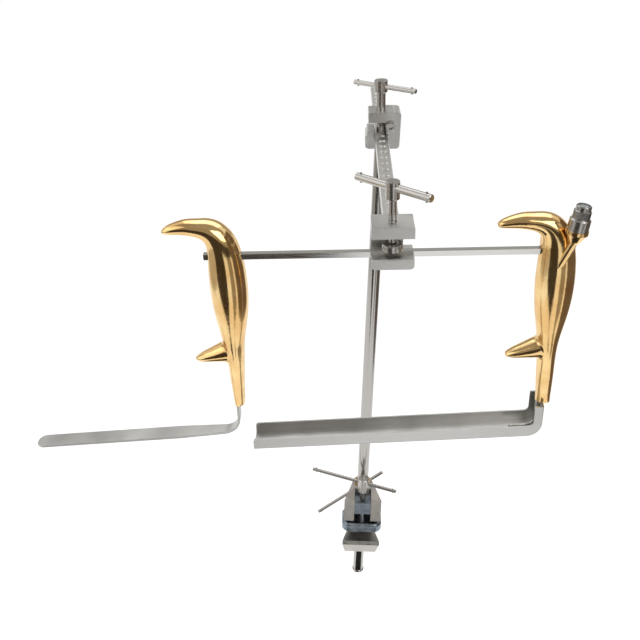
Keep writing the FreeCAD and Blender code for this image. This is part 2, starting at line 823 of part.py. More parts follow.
bind(pattern, "Occurrences", c.arm_hole_count)
arm.Tip = pattern
doc.recompute()
place(arm, upper(0, 0, 0), ROLLED)
nodes.append(arm)

# Front clamp

front = new_body("rail_clamp")
rail_half = c.rail_size / 2 + c.running_gap
rail_low = c.rail_z - c.rail_size / 2
pad(front, polygon(new_sketch(front, "YZ"), [
    (c.front_jaw_front, c.front_bottom),
    (c.front_jaw_rear, c.front_bottom),
    (c.front_jaw_rear, c.front_top),
    (c.front_jaw_front, c.front_top),
    (c.front_jaw_front, c.front_throat_top),
    (c.front_web_y, c.front_throat_top),
    (c.front_web_y, c.front_throat_bottom),
    (rail_half, c.front_throat_bottom),
    (rail_half, rail_low - c.seat_gap),
    (-rail_half, rail_low - c.seat_gap),
    (-rail_half, c.front_throat_bottom),
    (c.front_jaw_front, c.front_throat_bottom),
]), c.front_half_width * 2, both_ways=True)
pocket(front, rectangle(
    new_sketch(front, "XZ"), c.front_web_right, c.front_half_width + 1,
    c.front_throat_bottom, c.front_throat_top))
dress(front, "Fillet", 3, lambda edge: along(edge, Y_AXIS) and near(edge, z=c.front_bottom)
      and abs(edge.CenterOfMass.x) > 10)
dress(front, "Fillet", 1, lambda edge: along(edge, Y_AXIS) and near(edge, z=c.front_top)
      and abs(edge.CenterOfMass.x) > 10)
dress(front, "Chamfer", 1, lambda edge: along(edge, X_AXIS) and near(
    edge, y=c.front_jaw_front, z=c.front_throat_bottom))
pocket(front, circle(new_sketch(front, "XY", c.front_throat_top - 1), 0, 0,
                     c.rail_screw_radius + c.running_gap), 12, both_ways=False, reverse=True)
socket = rectangle(new_sketch(front, "XZ", -c.arm_front_y), -c.arm_width / 2 - c.seat_gap,
                   c.arm_width / 2 + c.seat_gap, -c.arm_thickness - c.seat_gap, c.seat_gap)
pocket(front, socket, c.front_jaw_rear - c.arm_front_y + 1, both_ways=False)
place(front, upper(0, 0, 0), ROLLED)
nodes.append(front)

rail = new_body("rail")
rail_edge = c.rail_size / 2
pad(rail, rectangle(new_sketch(rail, "YZ", c.rail_left), -rail_edge, rail_edge, -rail_edge, rail_edge),
    c.rail_right - c.rail_left)
dress(rail, "Chamfer", 0.4, lambda edge: along(edge, X_AXIS))
place(rail, upper(0, 0, c.rail_z), ROLLED)
nodes.append(rail)

cup_bottom = c.rail_z + c.rail_size / 2 + c.seat_gap
cup = new_body("rail_screw_foot")
recess_radius, recess_depth = c.rail_foot_radius - 2, 1.2
revolve(cup, [
    (0, 0), (c.rail_foot_radius - 0.5, 0), (c.rail_foot_radius, 0.5),
    (c.rail_foot_radius, c.rail_foot_height - 0.5), (c.rail_foot_radius - 0.5, c.rail_foot_height),
    (recess_radius, c.rail_foot_height), (recess_radius, c.rail_foot_height - recess_depth),
    (dog + 0.1, c.rail_foot_height - recess_depth), (dog + 0.1, 1.5), (0, 1.5),
])
place(cup, upper(0, 0, cup_bottom), ROLLED)
nodes.append(cup)

rail_turn = ROLLED.multiply(turned(c.rail_bar_turn))
shoulder = cup_bottom + c.rail_foot_height - recess_depth + c.running_gap
spindle("rail_screw", [
    (0, cup_bottom + 1.5 + c.running_gap), (dog, cup_bottom + 1.5 + c.running_gap), (dog, shoulder),
    (c.rail_screw_radius, shoulder),
] + hub_profile(c.rail_hub_radius, c.rail_hub_bottom, c.rail_hub_height, c.rail_screw_radius),
    c.rail_hub_bottom + c.rail_bar_rise, c.rail_bar_radius, upper(0, 0, 0), rail_turn)
tommy_bar("rail_screw_bar", c.rail_bar_radius, c.rail_bar_length, shifted(
    (0, 0, c.rail_hub_bottom + c.rail_bar_rise), c.rail_bar_turn, c.rail_bar_shift), rail_turn)

# Cast handles, lofted through oval sections from the hook's tip to the foot of the grip.
# Each section: centre x and z from the rail's axis, half thickness, half depth, direction.

GRIP_SECTIONS = (
    (-44.9, 20.4, 1.3, 2.2, 18),
    (-41.5, 21.6, 3.2, 4.4, 16),
    (-35, 23, 4.7, 6.2, 8),
    (-25, 23.8, 6.2, 8.2, -2),
    (-16.2, 23, 7.5, 9.6, -18.5),
    (-9, 20.5, 9.3, 11, -40.4),
    (-3.5, 14.2, 11, 12.4, -64.6),
    (-0.3, 2, 12.9, 13.8, -86),
    (0.7, -24, 14.6, 15, -90),
    (0.8, -42, 13.8, 14.6, -90),
    (0.7, -60, 11.2, 13.4, -90),
    (0.8, -87, 7.4, 12, -88),
)
SPUR_SECTIONS = (
    (-2, -82.2, 8.4, 10, 192),
    (-11, -84.9, 7.5, 9, 193),
    (-19.6, -87.3, 5.4, 7.2, 192),
    (-27, -89.2, 3.5, 5, 188),
    (-31.3, -90, 1.2, 2.2, 184),
)


def loft(name, sections):
    ovals = []
    for index, (x, z, thickness, depth, direction) in enumerate(sections):
        angle = math.radians(direction)
        heading = Vector(math.cos(angle), 0, math.sin(angle))
        across = heading.cross(Y_AXIS)
        oval = doc.addObject("Part::Ellipse", "%s_section_%d" % (name, index + 1))
        oval.MajorRadius = depth
        oval.MinorRadius = thickness
        oval.Placement = Placement(Vector(x, 0, z), Rotation(Y_AXIS, across, Vector(), "XYZ"))
        ovals.append(oval)
    body = doc.addObject("Part::Loft", name)
    body.Sections = ovals
    body.Solid = True
    body.Ruled = False
    return body


def grip_to_foot(foot_x, foot_half):
    """Grip sections carried down in even steps from below the spur to the foot."""
    x, z, thickness, depth, _ = GRIP_SECTIONS[-1]
    sections = list(GRIP_SECTIONS)
    for share in (1 / 3, 2 / 3, 1):
        sections.append((
            x + (SIZES[foot_x] - x) * share, z + (SIZES["handle_bottom"] - z) * share,
            thickness + (SIZES[foot_half] - thickness) * share,
            depth + (SIZES["foot_half_depth"] - depth) * share, -90))
    return sections


def handle(name, extra_cuts, station, foot_x, foot_half):
    """Gold handle with its rail slot and tang pocket; local origin on the rail's axis."""
    fused = doc.addObject("Part::MultiFuse", name + "_casting")
    fused.Shapes = [loft(name + "_grip", grip_to_foot(foot_x, foot_half)),
                    loft(name + "_spur", SPUR_SECTIONS)]
    doc.recompute()
    root_x, outer_x = SPUR_SECTIONS[0][0], SPUR_SECTIONS[1][0]
    seam = []
    for index, edge in enumerate(fused.Shape.Edges, start=1):
        if edge.isClosed() and outer_x < edge.CenterOfMass.x < root_x:
            seam.append((index, SIZES["spur_blend"], SIZES["spur_blend"]))
    if len(seam) != 1:
        raise RuntimeError("%s has %d seams at its spur" % (name, len(seam)))
    blended = doc.addObject("Part::Fillet", name + "_blend")
    blended.Base = fused
    blended.Edges = seam
    slot = c.rail_size + c.slide_gap * 2
    rail_slot = block(name + "_rail_slot", (c.rail_slot_run, slot, slot),
                      (c.rail_slot_run / -2, slot / -2, slot / -2))
    tools = doc.addObject("Part::MultiFuse", name + "_tools")
    tools.Shapes = [rail_slot] + extra_cuts
    cut = doc.addObject("Part::Cut", name)
    cut.Base = blended
    cut.Tool = tools
    cut.Label = name
    place(cut, upper(station, 0, c.rail_z), ROLLED)
    nodes.append(cut)
    return cut


PIN_HEIGHTS = (6, 14)
tang_pin_radius = 1.5


def tang_tools(name, back, sheet_thickness, pin_start):
    """Pocket for a blade's tang and the cross bores for its two pins."""
    gap = c.seat_gap
    pocket_box = block(name + "_tang_pocket", (
        sheet_thickness + gap * 2, c.tang_width + gap * 2, c.tang_length + gap + 1), (
        back - sheet_thickness - gap, c.tang_width / -2 - gap, c.handle_bottom - 1))
    tools = [pocket_box]
    for index, height in enumerate(PIN_HEIGHTS):
        tools.append(rod("%s_pin_bore_%d" % (name, index), tang_pin_radius + c.seat_gap, 30,
                         (pin_start, 0, c.handle_bottom + height), ALONG_X))
    return tools


def tang_pins(name, pin_start, length, station):
    pins = []
    for index, height in enumerate(PIN_HEIGHTS):
        pins.append(rod("%s_%d" % (name, index + 1), tang_pin_radius, length,
                        (pin_start, 0, c.handle_bottom + height), ALONG_X))
    nodes.append(group(name, pins, upper(station, 0, c.rail_z), ROLLED))


def tang(body, back, sheet_thickness):
    """Tongue that a blade sends up into its handle, with its two pin holes."""
    top = c.handle_bottom + c.tang_length
    pad(body, rectangle(new_sketch(body, "XZ"), back - sheet_thickness, back,
                        c.handle_bottom - 3, top), c.tang_width, both_ways=True)
    holes = new_sketch(body, "YZ")
    for height in PIN_HEIGHTS:
        circle(holes, 0, c.handle_bottom + height, tang_pin_radius + c.seat_gap)
    pocket(body, holes)


# Left retractor

left_pin_start = c.left_foot_x - c.left_foot_half + c.pin_inset
left_pin_length = c.left_foot_half * 2 - c.pin_inset * 2
handle("left_handle", tang_tools("left", c.left_blade_back, c.left_blade_thickness, left_pin_start),
       c.left_station, "left_foot_x", "left_foot_half")

left_blade = new_body("left_blade")
blade_top = c.handle_bottom - c.seat_gap
blade_rise = tangent(c.left_blade_slope)
blade_inside = c.left_blade_back - c.left_blade_thickness
blade_low = lambda x: -c.left_blade_drop + blade_rise * x
pad(left_blade, polygon(new_sketch(left_blade, "XZ"), [
    (blade_inside, blade_top),
    (blade_inside, blade_low(blade_inside) + c.left_blade_thickness),
    (c.left_blade_tip, blade_low(c.left_blade_tip) + c.left_blade_thickness),
    (c.left_blade_tip, blade_low(c.left_blade_tip)),
    (c.left_blade_back, blade_low(c.left_blade_back)),
    (c.left_blade_back, blade_top),
]), c.left_blade_width, both_ways=True)
dress(left_blade, "Fillet", c.left_blade_bend - c.left_blade_thickness, lambda edge: along(
    edge, Y_AXIS) and near(edge, x=blade_inside, z=blade_low(blade_inside) + c.left_blade_thickness))
dress(left_blade, "Fillet", c.left_blade_bend, lambda edge: along(edge, Y_AXIS) and near(
    edge, x=c.left_blade_back, z=blade_low(c.left_blade_back)))
dress(left_blade, "Fillet", 6.5, lambda edge: near(edge, x=c.left_blade_tip)
      and abs(edge.CenterOfMass.y) > 5)
waist_start = c.left_blade_back - c.left_waist_run
waist_end = c.left_blade_back + 1
for side in (-1, 1):
    pocket(left_blade, polygon(new_sketch(left_blade, "XY"), [
        (waist_start, c.left_blade_width * side / 2),
        (waist_end, c.left_waist_half * side),
        (waist_end, c.left_blade_width * side),
        (waist_start, c.left_blade_width * side),
    ]))
tang(left_blade, c.left_blade_back, c.left_blade_thickness)
place(left_blade, upper(c.left_station, 0, c.rail_z), ROLLED)
nodes.append(left_blade)
tang_pins("left_blade_pins", left_pin_start, left_pin_length, c.left_station)

# Right retractor

guide_x = c.trough_back - c.trough_sheet - c.guide_radius - 0.3
tube_foot = (c.light_foot_x, c.light_foot_y, c.light_foot_z)
tube_top = (c.light_x, c.light_y, c.light_z)
fibre_foot = (guide_x, 0, c.handle_bottom + 5.6)


def between(name, radius, start, end, before=0, beyond=0):
    """Round rod from one point to another in the retractor's frame."""
    start = [as_size(value) for value in start]
    end = [as_size(value) for value in end]
    step = Vector(*[b.number - a.number for a, b in zip(start, end)])
    length = step.Length
    parts = "pow(%s - %s; 2)"
    formula = "sqrt(%s)" % " + ".join(parts % (b.formula, a.formula) for a, b in zip(start, end))
    begin = [a + (b - a) * (-before / length) for a, b in zip(start, end)]
    return rod(name, radius, Size(length, formula) + before + beyond, begin, Rotation(Z_AXIS, step))


fibre_bore = between("fibre_bore", c.fibre_radius + c.running_gap, tube_foot, fibre_foot, 1.2, 0.1)
guide_bore = rod("guide_bore", c.guide_radius + c.seat_gap, 7, (guide_x, 0, c.handle_bottom - 1))
post_bore = between("light_post_bore", c.light_tube_radius + c.seat_gap, tube_foot, tube_top, 0.02, 5)
right_pin_start = guide_x + c.guide_radius + 0.15
right_pin_length = c.right_foot_x + c.right_foot_half - c.pin_inset - right_pin_start
handle("right_handle", tang_tools("right", c.trough_back, c.trough_sheet, right_pin_start)
       + [fibre_bore, guide_bore, post_bore], c.right_station, "right_foot_x", "right_foot_half")

trough = new_body("right_blade")
trough_rise = tangent(c.trough_slope)
trough_low = lambda x: -c.trough_drop + trough_rise * x
trough_rim = lambda x: trough_low(x) + c.trough_depth
rim_x = c.trough_back - c.trough_shank_depth
pad(trough, polygon(new_sketch(trough, "XZ"), [
    (rim_x, blade_top),
    (rim_x, trough_rim(rim_x)),
    (c.trough_tip, trough_rim(c.trough_tip)),
    (c.trough_tip, trough_low(c.trough_tip)),
    (c.trough_back, trough_low(c.trough_back)),
    (c.trough_back, blade_top),
]), c.trough_width, both_ways=True)
dress(trough, "Fillet", 4, lambda edge: along(edge, Y_AXIS) and near(
    edge, x=rim_x, z=trough_rim(rim_x)))
dress(trough, "Fillet", 2.5, lambda edge: along(edge, Y_AXIS) and near(
    edge, x=c.trough_tip, z=trough_rim(c.trough_tip)))
trough_floor = c.trough_back - c.trough_sheet
pocket(trough, polygon(new_sketch(trough, "XZ"), [
    (trough_floor, blade_top + 1),
    (trough_floor, trough_low(trough_floor) + c.trough_sheet),
    (c.trough_tip - 1, trough_low(c.trough_tip - 1) + c.trough_sheet),
    (c.trough_tip - 1, blade_top + 1),
]), c.trough_width - c.trough_sheet * 2)
dress(trough, "Fillet", c.trough_bend - c.trough_sheet, lambda edge: along(edge, Y_AXIS) and near(
    edge, x=trough_floor, z=trough_low(trough_floor) + c.trough_sheet))
dress(trough, "Fillet", c.trough_bend, lambda edge: along(edge, Y_AXIS) and near(
    edge, x=c.trough_back, z=trough_low(c.trough_back)))
dress(trough, "Fillet", 1, lambda edge: along(edge, Vector(
    cosine(c.trough_slope).number, 0, sine(c.trough_slope).number))
    and edge.Length > 150 and near(edge, z=trough_low((c.trough_tip + c.trough_back) / 2), reach=1.2)
    and abs(edge.CenterOfMass.y) > c.trough_width.number / 2 - 0.1)
tang(trough, c.trough_back, c.trough_sheet)
place(trough, upper(c.right_station, 0, c.rail_z), ROLLED)
nodes.append(trough)
tang_pins("right_blade_pins", right_pin_start, right_pin_length, c.right_station)

# Light fittings of the right retractor

guide = new_body("light_guide_tube")
guide_low = trough_low(guide_x) + c.trough_sheet + c.guide_radius + 0.15
guide_bend = c.trough_bend - c.trough_sheet - c.guide_radius - 0.3
corner_turn = 90 - c.trough_slope
corner_run = Size(guide_bend.number * math.tan(math.radians(corner_turn.number / 2)),
                  "(%s * tan(%s / 2 * 1deg))" % (guide_bend.formula, corner_turn.formula))
slope_cos, slope_sin = cosine(c.trough_slope), sine(c.trough_slope)
arc_end = (-corner_run * slope_cos, guide_low - corner_run * slope_sin)
arc_top = (0, guide_low + corner_run)
top_end = (0, c.handle_bottom + 5)
far_end = (-c.guide_reach, guide_low - trough_rise * c.guide_reach)
path = new_sketch(guide, "XZ")


def flat(point):
    return Vector(as_size(point[0]).number, as_size(point[1]).number, 0)


path.addGeometry(Part.LineSegment(flat(top_end), flat(arc_top)))
arc_centre = flat((-guide_bend, guide_low + corner_run))
bisector = (flat((0, guide_low)) - arc_centre).normalize()
path.addGeometry(Part.ArcOfCircle(
    Part.Circle(arc_centre, Vector(0, 0, 1), guide_bend.number),
    math.radians(SIZES["trough_slope"] - 90), 0.0))
path.addGeometry(Part.LineSegment(flat(arc_end), flat(far_end)))
path.addConstraint(Sketcher.Constraint("Tangent", 0, 2, 1, 2))
path.addConstraint(Sketcher.Constraint("Coincident", 1, 1, 2, 1))
fix_point(path, 0, 1, *top_end)
fix_point(path, 0, 2, *arc_top)
fix_point(path, 2, 1, *arc_end)
fix_point(path, 2, 2, *far_end)
path.Visibility = False
doc.recompute()
section = new_sketch(guide, "XY", c.handle_bottom + 5)
circle(section, 0, 0, c.guide_radius)
section.Visibility = False
sweep = guide.newObject("PartDesign::AdditivePipe", "light_guide_sweep")
sweep.Profile = section
sweep.Spine = (path, ["Edge1", "Edge2", "Edge3"])
doc.recompute()
place(guide, upper(c.right_station + guide_x, 0, c.rail_z), ROLLED)
nodes.append(guide)

lens_turn = ROLLED.multiply(Rotation(Vector(0, 1, 0), -90 - SIZES["trough_slope"]))
lens = rod("guide_lens", c.guide_radius - 0.4, 0.5, upper(
    c.right_station + guide_x + far_end[0] - 0.02, 0, c.rail_z + far_end[1]), lens_turn)
nodes.append(lens)

fibre = doc.addObject("Part::MultiFuse", "fibre_bundle")
fibre_knee = doc.addObject("Part::Sphere", "fibre_knee")
bind(fibre_knee, "Radius", c.fibre_radius)
place(fibre_knee, tube_foot)
fibre.Shapes = [
    between("fibre_lower", c.fibre_radius, tube_foot, fibre_foot),
    between("fibre_upper", c.fibre_radius, tube_foot, tube_top),
    fibre_knee,
]
fibre.Label = "fibre_bundle"
place(fibre, upper(c.right_station, 0, c.rail_z), ROLLED)
nodes.append(fibre)

light_axis = Rotation(Vector(0, 1, 0), SIZES["light_lean"])
light_base = (c.right_station + c.light_x, c.light_y, c.rail_z + c.light_z)
fitting_turn = ROLLED.multiply(light_axis)


def on_light_axis(height):
    x, y, z = light_base
    return upper(x + sine(c.light_lean) * height, y, z + cosine(c.light_lean) * height)


wall = 1.1
light_cup = new_body("light_cup")
revolve(light_cup, [
    (0, -2), (c.light_tube_radius - 0.6, -2), (c.light_tube_radius + 1.6, 1),
    (c.light_cup_radius - 1.6, 4.5), (c.light_cup_radius, 7), (c.light_cup_radius, c.light_cup_height),
    (c.connector_radius - 1.2, c.light_cup_height), (c.connector_radius - 1.2, 6.5), (0, 3),
])
place(light_cup, tube_top, light_axis)
light_shell = doc.addObject("Part::MultiFuse", "light_shell")
light_shell.Shapes = [light_cup, between("light_tube", c.light_tube_radius, tube_foot, tube_top)]
light_hollow = doc.addObject("Part::MultiFuse", "light_hollow")
light_hollow.Shapes = [
    between("light_tube_hollow", c.light_tube_radius - wall, tube_foot, tube_top, 1, 1.5),
    rod("light_cup_hollow", c.light_tube_radius - wall, 8, tube_top, light_axis),
]
light_post = doc.addObject("Part::Cut", "light_post")
light_post.Base = light_shell
light_post.Tool = light_hollow
light_post.Label = "light_post"
place(light_post, upper(c.right_station, 0, c.rail_z), ROLLED)
nodes.append(light_post)

connector = new_body("light_connector")
revolve(connector, [
    (c.nipple_radius - 1.2, 0), (c.connector_radius, 0), (c.connector_radius, c.connector_height - 1),
    (c.connector_radius - 1, c.connector_height), (c.nipple_radius - 1.2, c.connector_height),
])
place(connector, on_light_axis(c.light_cup_height + c.seat_gap), fitting_turn)
nodes.append(connector)

nipple = new_body("connector_nipple")
nipple_bore = c.nipple_radius - 2.2
revolve(nipple, [
    (nipple_bore, -4), (c.nipple_radius - 1.25, -4), (c.nipple_radius - 1.25, 0), (c.nipple_radius, 0),
    (c.nipple_radius, 5.5), (c.nipple_radius - 0.8, 6), (c.nipple_radius - 0.8, c.nipple_height - 0.6),
    (c.nipple_radius - 1.4, c.nipple_height), (nipple_bore, c.nipple_height),
])
place(nipple, on_light_axis(c.light_cup_height + c.connector_height + c.seat_gap * 2), fitting_turn)
nodes.append(nipple)

window = rod("connector_lens", nipple_bore - c.seat_gap, 2, on_light_axis(
    c.light_cup_height + c.connector_height + c.nipple_height - 3), fitting_turn)
nodes.append(window)

# Checks and export

doc.recompute()
faults = []
for item in doc.Objects:
    if "Invalid" in item.State or "Error" in item.State:
        faults.append("%s is %s" % (item.Name, item.State))
for node in nodes:
    shape = node.Shape
    if shape.isNull() or not shape.isValid() or not shape.Solids:
        faults.append("%s has no valid solid" % node.Label)
if faults:
    raise RuntimeError("; ".join(faults))
for node in nodes:
    node.Shape.exportStep("parts/%s.step" % node.Label)
    print(node.Label, len(node.Shape.Solids), round(node.Shape.Volume, 1))
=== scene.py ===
import math

import bmesh
import bpy
from mathutils import Matrix, Vector

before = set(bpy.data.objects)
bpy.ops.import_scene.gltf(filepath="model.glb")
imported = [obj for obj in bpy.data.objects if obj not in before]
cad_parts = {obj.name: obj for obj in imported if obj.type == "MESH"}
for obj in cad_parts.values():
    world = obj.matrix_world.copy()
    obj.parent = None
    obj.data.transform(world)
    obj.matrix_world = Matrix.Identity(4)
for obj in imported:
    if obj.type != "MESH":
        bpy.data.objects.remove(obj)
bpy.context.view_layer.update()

bl_info = {
    "name": "Self-retaining retractor",
    "version": (1, 0, 0),
    "blender": (4, 5, 0),
    "location": "View3D > Sidebar > Retractor",
    "description": "Dresses a table-mounted retractor frame with two gold hook handles",
    "category": "Object",
}

MM = 0.001


def linear(hex_colour):
    """sRGB hex to linear red, green, blue."""
    parts = [int(hex_colour[i:i + 2], 16) / 255 for i in (0, 2, 4)]
    return tuple(p / 12.92 if p <= 0.04045 else ((p + 0.055) / 1.055) ** 2.4 for p in parts)


# The upper frame: the arm's roll about its pivot screw turns the rail's frame into the world's.

ARM_ROLL = math.radians(2.9)
RAIL_X = Vector((math.cos(ARM_ROLL), 0, math.sin(ARM_ROLL)))
RAIL_Z = Vector((-math.sin(ARM_ROLL), 0, math.cos(ARM_ROLL)))
PIVOT_WORLD = Vector((5.9, -244.0, 551.1))
PIVOT_UPPER = Vector((8.6, 0.0, 8.5))


def upper(x, y, z):
    """World position in metres of a point in the arm's frame, in millimetres."""
    step = Vector((x, y, z)) - PIVOT_UPPER
    return (PIVOT_WORLD + RAIL_X * step.x + Vector((0, step.y, 0)) + RAIL_Z * step.z) * MM


# The light fitting leans 8 degrees to the right of the rail's upright.

LIGHT_LEAN = math.radians(8)
LIGHT_AXIS = RAIL_X * math.sin(LIGHT_LEAN) + RAIL_Z * math.cos(LIGHT_LEAN)
LIGHT_FOOT = upper(128.4, -14.8, -5)
NIPPLE_RISE = 0.0188
NIPPLE_BASE = LIGHT_FOOT + LIGHT_AXIS * NIPPLE_RISE

# Cut and rolled patterns, in metres: origin and axis, radius of the shank or rim, and the span of
# heights above the origin that carries the pattern. A screw's span lies inside its clamp.

THREADS = {
    "rail": (upper(0, 0, 0), RAIL_Z, 0.003, -0.006, 0.0095),
    "arm": (upper(0, 242, 0), RAIL_Z, 0.0045, 0.004, 0.021),
    "table": ((0, 0, 0), (0, 0, 1), 0.0035, 0.034, 0.074),
    "lock": ((0, 0.024, 0.0366), (0, 1, 0), 0.004, 0.008, 0.0245),
}
KNURL = (NIPPLE_BASE, LIGHT_AXIS, 0.0063, 0.0004, 0.0054)
SHANK_SLACK = 0.0002
RIM_SLACK = 0.0003


# Properties

def colour(name, description, hex_colour):
    return bpy.props.FloatVectorProperty(
        name=name, description=description, subtype="COLOR", size=3, min=0, max=1,
        default=linear(hex_colour))


def length(name, description, default):
    return bpy.props.FloatProperty(
        name=name, description=description, subtype="DISTANCE", unit="LENGTH", min=0,
        default=default)


class RetractorColours(bpy.types.PropertyGroup):
    gold: colour("Gold plate", "Mirror-polished gold on the handles", "F1D299")
    gold_deep: colour("Deep gold", "Slightly redder gold where the plate is thicker", "DFB679")
    stainless: colour("Stainless", "Blasted and brushed stainless steel", "CFCECB")
    chrome: colour("Polished stainless", "Turned and polished screws and post", "B4B1AD")
    cast: colour("Cast clamp", "Tumbled casting of the table clamp", "BDB8B1")
    blued: colour("Blued steel", "Dark oxidised jaw and nut", "8A939C")
    brass: colour("Brass", "Lock shoe and sleeve", "B99150")
    glass: colour("Glass", "Light windows", "E8F0F2")
    floor: colour("Floor", "Pale floor", "F4F4F4")


class RetractorSizes(bpy.types.PropertyGroup):
    blast_grain: length("Blast grain", "Size of the dimples left by bead blasting", 0.0006)
    brush_pitch: length("Brush pitch", "Spacing of the brushed lines", 0.0004)
    polish_wave: length("Polish wave", "Length of the faint waves left by hand polishing", 0.018)
    cast_grain: length("Cast grain", "Size of the tumbled casting's texture", 0.0012)
    thread_pitch: length("Thread pitch", "Pitch of every clamping screw", 0.002)
    knurl_pitch: length("Knurl pitch", "Spacing of the knurl on the light nipple", 0.001)
    fibre_pitch: length("Fibre pitch", "Cells on the light windows, coarser than real", 0.0003)


# Nodes

def add_node(tree, kind, inputs=None, **settings):
    """Adds a node, sets its properties and fills or links its inputs."""
    made = tree.nodes.new(kind)
    for key, value in settings.items():
        setattr(made, key, value)
    for socket, value in (inputs or {}).items():
        if isinstance(value, bpy.types.NodeSocket):
            tree.links.new(value, made.inputs[socket])
        else:
            made.inputs[socket].default_value = value
    return made


def new_material(name, base, metallic, roughness):
    material = bpy.data.materials.new(name)
    material.use_nodes = True
    tree = material.node_tree
    shader = tree.nodes["Principled BSDF"]
    shader.inputs["Base Color"].default_value = (*base, 1)
    shader.inputs["Metallic"].default_value = metallic
    shader.inputs["Roughness"].default_value = roughness
    material.diffuse_color = (*base, 1)
    return material, tree, shader


def place_of(tree, stretch=(1, 1, 1)):
    """Object position, squeezed or stretched along an axis."""
    at = add_node(tree, "ShaderNodeTexCoord")
    return add_node(tree, "ShaderNodeMapping", {
        "Vector": at.outputs["Object"], "Scale": stretch}).outputs[0]


def noise(tree, vector, size, detail):
    """Noise whose features are about one size across, in metres."""
    return add_node(tree, "ShaderNodeTexNoise", {
        "Vector": vector, "Scale": 1 / size, "Detail": detail, "Roughness": 0.5}).outputs["Fac"]


def shades(tree, factor, low, high, dark, light):
    """Two colours, from dark where the factor is low to light where it's high."""
    ramp = add_node(tree, "ShaderNodeMapRange", {
        "Value": factor, "From Min": low, "From Max": high})
    mix = add_node(tree, "ShaderNodeMix", {0: ramp.outputs[0]}, data_type="RGBA")
    mix.inputs["A"].default_value = (*dark, 1)
    mix.inputs["B"].default_value = (*light, 1)
    return mix.outputs["Result"]


def spread(tree, factor, low, high):
    """The factor's middle range mapped to a low and a high value."""
    return add_node(tree, "ShaderNodeMapRange", {
        "Value": factor, "From Min": 0.3, "From Max": 0.7,
        "To Min": low, "To Max": high}).outputs[0]


def bump(tree, shader, height, depth, strength):
    """Relief of a depth in metres on the shader's normal."""
    made = add_node(tree, "ShaderNodeBump", {
        "Height": height, "Distance": depth, "Strength": strength})
    tree.links.new(made.outputs["Normal"], shader.inputs["Normal"])


def math_of(tree, operation, first, second=0.0):
    return add_node(tree, "ShaderNodeMath", {0: first, 1: second}, operation=operation).outputs[0]


def within(tree, value, low, high):
    """1 where the value lies between low and high, and 0 elsewhere."""
    return math_of(tree, "MULTIPLY", math_of(tree, "GREATER_THAN", value, low),
                   math_of(tree, "LESS_THAN", value, high))


def crests(tree, turns):
    """A ridge at every half turn: 1 on its crest and 0 in its root."""
    return math_of(tree, "ABSOLUTE", math_of(
        tree, "SINE", math_of(tree, "MULTIPLY", turns, math.pi)))


def only_where(tree, mask, pattern):
    """The pattern where the mask is 1, and 1 elsewhere."""
    depth = math_of(tree, "SUBTRACT", 1.0, pattern)
    return math_of(tree, "SUBTRACT", 1.0, math_of(tree, "MULTIPLY", mask, depth))


def round_axis(tree, origin, axis):
    """Angle in turns, height and radius in metres round the axis of a turned piece."""
    at = add_node(tree, "ShaderNodeTexCoord")
    away = add_node(
        tree, "ShaderNodeVectorMath", {0: at.outputs["Object"], 1: origin}, operation="SUBTRACT")
    upright = Vector(axis).rotation_difference(Vector((0, 0, 1))).to_euler()
    turned = add_node(tree, "ShaderNodeMapping", {"Vector": away.outputs[0], "Rotation": upright})
    x, y, height = add_node(tree, "ShaderNodeSeparateXYZ", {0: turned.outputs[0]}).outputs
    angle = math_of(tree, "DIVIDE", math_of(tree, "ARCTAN2", y, x), 2 * math.pi)
    sideways = add_node(tree, "ShaderNodeCombineXYZ", {"X": x, "Y": y})
    radius = add_node(tree, "ShaderNodeVectorMath", {0: sideways.outputs[0]}, operation="LENGTH")
    return angle, height, radius.outputs["Value"]


def tint(base, share):
    """The colour at a share of its brightness, no channel above 1."""
    return tuple(min(1, value * share) for value in base)


# Materials

def gold_plate(colours, sizes):
    # Gold electroplate over a hand-polished steel casting: a near mirror with faint long waves,
    # a little redder where the plate is thicker, and hair-fine wiping marks in the gloss.
    material, tree, shader = new_material("gold_plate", colours.gold, 1, 0.06)
    wide = noise(tree, place_of(tree), sizes.polish_wave, 2)
    tree.links.new(
        shades(tree, wide, 0.35, 0.7, colours.gold_deep, colours.gold), shader.inputs["Base Color"])
    wipes = noise(tree, place_of(tree, (1, 1, 0.2)), sizes.brush_pitch * 4, 4)
    tree.links.new(spread(tree, wipes, 0.09, 0.17), shader.inputs["Roughness"])
    bump(tree, shader, wide, 0.0003, 0.12)
    return material


def blasted_stainless(colours, sizes):
    # Bead-blasted stainless steel: an even silky grey with fine dimples, drawn coarser than real
    # so that they show, and a cloudy change of gloss from handling.
    material, tree, shader = new_material("blasted_stainless", colours.stainless, 1, 0.36)
    cloud = noise(tree, place_of(tree), 0.03, 3)
    tree.links.new(
        shades(tree, cloud, 0.3, 0.7, tint(colours.stainless, 0.84), colours.stainless),
        shader.inputs["Base Color"])
    tree.links.new(spread(tree, cloud, 0.30, 0.42), shader.inputs["Roughness"])
    bump(tree, shader, noise(tree, place_of(tree), sizes.blast_grain, 2), 0.00004, 0.5)
    return material


def brushed_stainless(name, colours, sizes, stretch, pale, gloss):
    # Stainless bar ground along its length: fine parallel lines that draw reflections out.
    steel = tint(colours.stainless, pale)
    material, tree, shader = new_material(name, steel, 1, gloss)
    lines = noise(tree, place_of(tree, stretch), sizes.brush_pitch, 3)
    tree.links.new(
        shades(tree, lines, 0.3, 0.7, tint(steel, 0.92), steel), shader.inputs["Base Color"])
    tree.links.new(spread(tree, lines, gloss - 0.04, gloss + 0.05), shader.inputs["Roughness"])
    bump(tree, shader, lines, 0.000004, 0.3)
    return material


